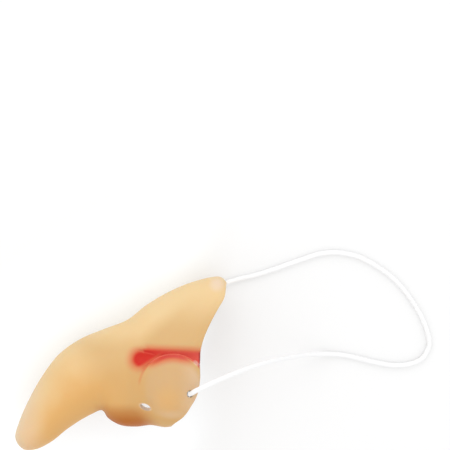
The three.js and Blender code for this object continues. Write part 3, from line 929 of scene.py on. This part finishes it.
# On the lip: trace is the groove's painted shade, edge a painted highlight where the red is also worn
# thin, and the spot a painted highlight.
LIP = SimpleNamespace(
    line=0.0003, trace=(0.0009, 0.0002), trace_foot=(0.0175, 0.022), trace_rear=(-0.004, -0.009),
    trace_amount=0.3, edge=(0.00035, 0.00005), edge_foot=(0.027, 0.0305), edge_amount=0.95,
    spot_highlight_at=(0.0103, 0.0284), spot_highlight=(0.002, 0.0006), spot_highlight_edge=(0.0012, 0.0004), spot_highlight_amount=0.5)


def skin_colour(tree, view, clouds, paint):
    """Pale along the crest, a painted highlight, and warmer down the sides, painted shade, as
    (1 - cos round) / 2, which is 0 on the crest and 1 on the keel. Duller over the bridge's side and
    the middle, painted shade too, both with a slanting front."""
    turn, _ = map_place(tree, "Skin")
    cosine = maths(tree, "COSINE", maths(tree, "MULTIPLY", turn, 2 * math.pi))
    down = maths(tree, "MULTIPLY_ADD", cosine, -0.5, 0.5)
    down = maths(tree, "MULTIPLY_ADD", clouds, CREST.clouding, down)
    body = mix(tree, ease_in(tree, down, CREST.down), rgba(paint.pale), rgba(paint.vinyl))

    front = slanted(tree, view.up, BRIDGE.slope, view.back)
    bridge = patch(tree, (front, BRIDGE.front), (view.up, BRIDGE.top), (view.back, BRIDGE.low_end))
    front = slanted(tree, view.up, MIDDLE.slope, view.back)
    middle = patch(tree, (front, MIDDLE.front), (view.up, MIDDLE.top))
    bridge = maths(tree, "MULTIPLY", bridge, BRIDGE.amount)
    middle = maths(tree, "MULTIPLY", middle, MIDDLE.amount)
    return mix(tree, maths(tree, "MAXIMUM", bridge, middle), body, rgba(paint.dull_shade))


def wing_colour(tree, view, body, paint):
    """The wings are duller too, painted shade, warm in their lower middle, and paler at their foot
    and rear, painted light.
    """
    lobe = patch(tree, (view.from_lip, WING.lip), (view.back, WING.front))
    body = spray(tree, body, lobe, WING.amount, paint.wing)
    blush = ease_in(tree, away(tree, view.flat, WING.blush_at), WING.blush)
    body = spray(tree, body, blush, WING.blush_amount, paint.vinyl)
    edge = maths(tree, "MAXIMUM", ease_in(tree, view.up, WING.foot), ease_in(tree, view.back, WING.rear))
    return spray(tree, body, both(tree, edge, lobe), WING.edge_amount, paint.rubbed_and_lit)


def rubbed_and_lit_patches(tree, view, body, shape, paint):
    """Pale where the paint is worn at the top of the bridge, paler at the tip, and painted light
    round each breathing hole.
    """
    peak = ease_in(tree, away(tree, view.flat, RUBBED_AND_LIT.peak_at), RUBBED_AND_LIT.peak)
    body = spray(tree, body, peak, RUBBED_AND_LIT.peak_amount, paint.rubbed_and_lit)
    body = spray(tree, body, ease_in(tree, view.back, RUBBED_AND_LIT.tip), RUBBED_AND_LIT.tip_amount, paint.rubbed_and_lit)
    off_hole = off_oval(
        tree, view.flat, (-shape.breath_forward, shape.breath_up * shape.height), shape.breath_tilt,
        shape.breath_length / 2, shape.breath_height / 2)
    return spray(tree, body, ease_in(tree, off_hole, RUBBED_AND_LIT.breath), RUBBED_AND_LIT.breath_amount, paint.rubbed_and_lit)


def underside_colour(tree, view, body, paint):
    """Orange-brown spray under the body, partly painted shade, deeper downwards, as far as the front
    of the wings.
    """
    under = maths(tree, "MULTIPLY", ease_in(tree, view.up, UNDERSIDE.upper), UNDERSIDE.upper_amount)
    lower = ease_in(tree, view.up, UNDERSIDE.lower)
    under = maths(tree, "MULTIPLY_ADD", lower, UNDERSIDE.lower_amount, under)
    rear = ease_in(tree, slanted(tree, view.up, UNDERSIDE.slope, view.back), UNDERSIDE.rear)
    under = both(tree, under, rear, ease_in(tree, view.back, UNDERSIDE.front))
    return mix(tree, under, body, rgba(paint.warm))


def red_layer(tree, view, layer):
    """The mask of a layer of red: outside the lip up to over the crease, with a round front. It has
    also run over the lip's edge, except at the edge's rear end and its foot."""
    inside = (view.from_lip, layer.inside)
    run = patch(tree, (view.back, BOTH_REDS.rear), (view.up, BOTH_REDS.foot), inside)
    run = maths(tree, "MAXIMUM", ease_in(tree, view.from_lip, BOTH_REDS.lip), run)
    front = ease_in(tree, away(tree, view.flat, BOTH_REDS.front_at), layer.front)
    front = maths(tree, "MAXIMUM", ease_in(tree, view.back, layer.behind_front), front)
    top = ease_in(tree, slanted(tree, view.back, BOTH_REDS.top_slope, view.up), layer.top)
    return both(tree, run, front, top, ease_in(tree, view.up, layer.low))


def crease_red(tree, view, body, paint):
    """A haze of red round the crease and the full red in it, pinker to the rear. Ahead of the lip
    the full red's lower edge slants. It is darker on the face edge, a painted shadow, and just
    inside the lip, painted shade."""
    body = spray(tree, body, red_layer(tree, view, HAZE), HAZE.amount, paint.haze)
    lower = ease_in(tree, slanted(tree, view.back, RED.slope, view.up), RED.low_front)
    lower = maths(tree, "MAXIMUM", lower, ease_in(tree, view.back, RED.behind_slant))
    deep = both(tree, red_layer(tree, view, RED), lower)
    red = mix(tree, ease_in(tree, view.back, RED.pink), rgba(paint.red), rgba(paint.pink))
    body = mix(tree, deep, body, red)
    # Painted shadow on the face edge and painted shade just inside the lip, in the dark red.
    rim = both(tree, deep, ease_in(tree, view.back, RED.rim), RED.rim_amount)
    inner, outer = (ease_in(tree, view.from_lip, ramp) for ramp in (RED.shade_inner, RED.shade_outer))
    shade = both(tree, deep, inner, outer, RED.shade_amount)
    return mix(tree, maths(tree, "MAXIMUM", rim, shade), body, rgba(paint.shadow_red))


def fold_lines(tree, view, body, paint):
    """A low fold from the front of the red down to the lip, painted only: a painted highlight line
    under a painted shade line.
    """
    across = slanted(tree, view.back, FOLD.slope, view.up)
    ends = patch(tree, (view.back, FOLD.front), (view.back, FOLD.rear))
    light = ease_in(tree, off_line(tree, across, FOLD.light_line), FOLD.light)
    body = spray(tree, body, both(tree, ends, light), FOLD.light_amount, paint.lip)
    dark = ease_in(tree, off_line(tree, across, FOLD.dark_line), FOLD.dark)
    return spray(tree, body, both(tree, ends, dark), FOLD.dark_amount, paint.shadow_red)


def lip_lines(tree, view, body, paint):
    """A painted highlight along the lip's sharp edge, where the red is also worn thin, ends in a
    painted highlight spot. It goes on round the front of the wing as a faint warm line, the groove's
    painted shade."""
    off_edge = off_line(tree, view.from_lip, LIP.line)
    trace = patch(tree, (off_edge, LIP.trace), (view.up, LIP.trace_foot), (view.back, LIP.trace_rear))
    body = spray(tree, body, trace, LIP.trace_amount, paint.haze)
    edge = patch(tree, (off_edge, LIP.edge), (view.up, LIP.edge_foot))
    body = spray(tree, body, edge, LIP.edge_amount, paint.lip)
    # A painted highlight spot at the rear end of the lip's edge.
    spot_highlight = patch(tree, (away(tree, view.flat, LIP.spot_highlight_at), LIP.spot_highlight), (off_edge, LIP.spot_highlight_edge))
    return spray(tree, body, spot_highlight, LIP.spot_highlight_amount, paint.rubbed_and_lit)


def painted_vinyl(shape, paint, foot, grain):
    """Flesh-coloured vinyl, paler along the crest as a painted highlight, sprayed red in the creases
    and orange-brown under the body, with painted shade and highlights on its sides, wings and lip."""
    material, tree, bsdf = shader("Painted vinyl", {
        "Specular IOR Level": 0.12, "Subsurface Weight": 0.15, "Subsurface Radius": (1.0, 0.45, 0.18),
        "Subsurface Scale": 0.003})
    # The view also holds how far outside the round lip each place is.
    view = worn_view(tree, shape, foot)
    from_centre = away(tree, view.flat, (0, shape.lip_up * shape.height))
    view.from_lip = maths(tree, "SUBTRACT", from_centre, shape.lip_radius)
    texture = add_node(tree, "ShaderNodeGroup", {"Place": view.place}, node_tree=grain)
    clouds = texture.outputs["Clouds"]

    body = skin_colour(tree, view, clouds, paint)
    body = wing_colour(tree, view, body, paint)
    body = rubbed_and_lit_patches(tree, view, body, shape, paint)
    body = underside_colour(tree, view, body, paint)
    body = crease_red(tree, view, body, paint)
    body = fold_lines(tree, view, body, paint)
    body = lip_lines(tree, view, body, paint)
    tree.links.new(body, bsdf.inputs["Base Color"])
    roughness = maths(tree, "MULTIPLY_ADD", clouds, ROUGHNESS.clouding, ROUGHNESS.plain)
    tree.links.new(roughness, bsdf.inputs["Roughness"])
    add_bump(tree, bsdf, texture.outputs["Height"], strength=0.12, distance=0.00005)
    return material


def bare_vinyl(paint, grain):
    """The inside of the shell: the same vinyl, unpainted and more matt, faintly clouded."""
    material, tree, bsdf = shader("Bare vinyl", {"Roughness": 0.62})
    texture = add_node(tree, "ShaderNodeGroup", {
        "Place": object_place(tree), "Cloud size": 80.0}, node_tree=grain)
    cloud_amount = 0.3
    body = spray(tree, rgba(paint.inside), texture.outputs["Clouds"], cloud_amount, paint.pale)
    tree.links.new(body, bsdf.inputs["Base Color"])
    add_bump(tree, bsdf, texture.outputs["Height"], strength=0.2, distance=0.00008)
    return material


def elastic_material(elastic, braid):
    """White braided elastic, its strands following the cord's own UV map."""
    material, tree, bsdf = shader("White elastic", {"Roughness": 0.8, "Sheen Weight": 0.25})
    around, along = map_place(tree, "Braid")
    strands = add_node(tree, "ShaderNodeGroup", {"Round": around, "Along": along}, node_tree=braid)
    low_to_high = (0.45, 0.95)
    raised = ease_in(tree, strands.outputs["Strands"], low_to_high)
    tone = mix(tree, raised, rgba(elastic.shade), rgba(elastic.white))
    tree.links.new(tone, bsdf.inputs["Base Color"])
    add_bump(tree, bsdf, strands.outputs["Strands"], strength=0.5, distance=0.00012)
    return material


def floor_material(stage, shape, foot):
    """A plain white table with the faintest unevenness in its tone, lit a little from within, and
    more so in a pool of light under the nose, so that the nose's shade on it stays light."""
    material, tree, bsdf = shader("White table", {
        "Roughness": 0.9, "Specular IOR Level": 0.1, "Emission Strength": stage.glow})
    noise = add_node(tree, "ShaderNodeTexNoise", {"Vector": object_place(tree), "Scale": 3.0})
    darker = tuple(value * TABLE_SPOTS for value in stage.floor)
    tone = mix(tree, noise.outputs["Fac"], rgba(stage.floor), rgba(darker))
    tree.links.new(tone, bsdf.inputs["Base Color"])
    view = worn_view(tree, shape, foot)
    off_pool = off_oval(
        tree, view.flat, stage.pool_middle, stage.pool_turn, stage.pool_length / 2, stage.pool_width / 2)
    pool = patch(tree, (off_pool, POOL_RIM), (view.back, POOL_REAR))
    light = mix(tree, pool, rgba(stage.glow_colour), rgba(stage.pool))
    tree.links.new(light, bsdf.inputs["Emission Color"])
    return material


# Operators

class COSTUMENOSE_OT_shell(bpy.types.Operator):
    """Make the hollow vinyl nose with its holes and its paint"""

    bl_idname = "costume_nose.shell"
    bl_label = "Vinyl Nose"

    def execute(self, context):
        shape, paint, elastic, _ = settings()
        foot = nose_foot(shape)
        rings, places, angle, painted = shell_rings(shape)
        rows, columns = rings.shape[:2]
        tip = skin_point(np.array(0.0), np.array(0.0), shape)
        points = np.vstack([rings.reshape(-1, 3), tip, tip - TIP_OUT * shape.wall])
        total, ring = rows * columns, np.arange(columns)
        outer_tip = fan(total, ring)[:, ::-1]
        inner_tip = fan(total + 1, total - columns + ring)[:, [1, 2, 0]]
        quads = ring_faces(rows, columns)[:, ::-1]
        tips = np.vstack([outer_tip, inner_tip])
        nose = new_piece("vinyl_nose", lying(points, shape, foot), quads, tips)
        around = np.append(angle, 2 * np.pi) / (2 * np.pi)
        add_uv(nose, "Skin", ring_uv(around, places / LAST_RIB)[:, ::-1], np.zeros((6 * columns, 2)))

        # The paint goes round the face edge, and all further in is bare.
        inside = np.zeros(len(nose.data.polygons), dtype=np.int32)
        inside[(painted - 1) * columns:len(quads)] = 1
        inside[len(quads) + columns:] = 1
        grain = vinyl_grain_group()
        nose.data.materials.append(painted_vinyl(shape, paint, foot, grain))
        nose.data.materials.append(bare_vinyl(paint, grain))
        nose.data.polygons.foreach_set("material_index", inside)

        cutters = []
        across = elastic.diameter + 2 * elastic.clearance
        for hand in (1, -1):
            mouth, aim, _ = cord_hole(hand, shape, elastic)
            middle, out = lying(mouth, shape, foot), lying(aim, shape)
            cutters.append(rod("cord_hole", middle, out, (0, 1, 0), across, across, CORD_ROD_REACH))
        breath = np.array([shape.breath_forward, shape.breath_up * shape.height, 0])
        side = lying(np.array([0, 0, 1.0]), shape)
        long_way = lying(np.array([math.cos(shape.breath_tilt), -math.sin(shape.breath_tilt), 0]), shape)
        reach = shape.body_width / 2 + shape.wing_standout + BREATH_ROD_PAST
        cutters.append(rod("breathing_hole", lying(breath, shape, foot), side, long_way,
                           shape.breath_length, shape.breath_height, reach))
        cut(nose, cutters, holes=4)
        nose.data.set_sharp_from_angle(angle=SHARP_ANGLE)
        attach(nose, "root")
        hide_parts("nose_shell")
        return {"FINISHED"}


class COSTUMENOSE_OT_elastic(bpy.types.Operator):
    """Make the head elastic as it lies, and the knots that hold it inside the wings"""

    bl_idname = "costume_nose.elastic"
    bl_label = "Head Elastic"

    def execute(self, context):
        shape, _, elastic, _ = settings()
        material = elastic_material(elastic, braid_group())
        path, run = smooth_path(ELASTIC_POINTS, ELASTIC_RINGS)
        cord = tube("head_elastic", path, elastic.diameter / 2)
        cord.data.materials.append(material)
        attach(cord, "root")
        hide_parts("elastic_cord")

        foot = nose_foot(shape)
        for hand, name in ((1, "left"), (-1, "right")):
            mouth, aim, normal = cord_hole(hand, shape, elastic)
            depth = (shape.wall + elastic.knot_gap + elastic.knot_size / 2) / (aim @ normal)
            middle, out = lying(mouth - aim * depth, shape, foot), lying(aim, shape)
            knot = tied_knot(f"tied_knot_{name}", middle, out, elastic.knot_size / 2)
            knot.data.materials.append(material)
            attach(knot, "root")
            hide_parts(f"knot_{name}")
        return {"FINISHED"}


class COSTUMENOSE_OT_stage(bpy.types.Operator):
    """Set the floor, the soft light and the camera"""

    bl_idname = "costume_nose.stage"
    bl_label = "Stage"

    def execute(self, context):
        shape, _, _, stage = settings()
        scene = context.scene
        turn = resting_turn(shape)
        foot = Vector(nose_foot(shape))
        centre = foot + turn @ Vector(stage.centre)

        lens = bpy.data.cameras.new("Camera")
        lens.sensor_width = lens.sensor_height = 36
        lens.angle = 2 * math.atan(stage.width / 2 / stage.distance)
        lens.clip_end = 20
        camera = add_object("Camera", lens)
        camera.matrix_world = Matrix.Translation(centre + turn.col[2] * stage.distance) @ turn.to_4x4()
        scene.camera = camera

        mesh = bpy.data.meshes.new("floor")
        square = np.array([(-1, -1), (1, -1), (1, 1), (-1, 1)]) * TABLE_REACH
        mesh.from_pydata([(x, y, -TABLE_DROP) for x, y in square], [], [(0, 1, 2, 3)])
        mesh.materials.append(floor_material(stage, shape, foot))
        floor = add_object("floor", mesh)

        # One wide lamp from the upper side and over the bridge, a little towards the tip.
        light = bpy.data.lights.new("Key", "AREA")
        light.shape, light.size, light.energy = "DISK", LAMP_SIZE, stage.key
        lamp = add_object("Key", light)
        towards = (turn @ Vector(stage.key_from)).normalized() * LAMP_DISTANCE
        lamp.matrix_world = (Matrix.Translation(centre + towards)
                             @ towards.to_track_quat("Z", "Y").to_matrix().to_4x4())

        world = bpy.data.worlds.new("Surround")
        world.use_nodes = True
        background = world.node_tree.nodes["Background"]
        background.inputs["Color"].default_value = (1, 1, 1, 1)
        background.inputs["Strength"].default_value = stage.sky
        scene.world = world
        scene.view_settings.view_transform = "Standard"
        return {"FINISHED"}


class COSTUMENOSE_PT_panel(bpy.types.Panel):
    """The nose's sizes, colours and pieces"""

    bl_idname = "COSTUMENOSE_PT_panel"
    bl_label = "Costume Nose"
    bl_space_type = "VIEW_3D"
    bl_region_type = "UI"
    bl_category = "Costume Nose"

    def draw(self, context):
        for operator in OPERATORS:
            self.layout.operator(operator.bl_idname)
        for group in settings():
            box = self.layout.box()
            for name in group.__annotations__:
                box.prop(group, name)


GROUPS = {
    "costume_nose_shape": CostumeNoseShape,
    "costume_nose_paint": CostumeNosePaint,
    "costume_nose_elastic": CostumeNoseElastic,
    "costume_nose_stage": CostumeNoseStage,
}
OPERATORS = (COSTUMENOSE_OT_stage, COSTUMENOSE_OT_elastic, COSTUMENOSE_OT_shell)


def register():
    """Register the classes and put the properties on the scene."""
    for item in (*GROUPS.values(), *OPERATORS, COSTUMENOSE_PT_panel):
        bpy.utils.register_class(item)
    for name, group in GROUPS.items():
        setattr(bpy.types.Scene, name, PointerProperty(type=group))


def unregister():
    """Take the properties and the classes away again."""
    for name in GROUPS:
        delattr(bpy.types.Scene, name)
    for item in reversed((*GROUPS.values(), *OPERATORS, COSTUMENOSE_PT_panel)):
        bpy.utils.unregister_class(item)


def main():
    """Make every piece."""
    register()
    bpy.ops.costume_nose.stage()
    bpy.ops.costume_nose.elastic()
    bpy.ops.costume_nose.shell()


if __name__ == "__main__":
    main()
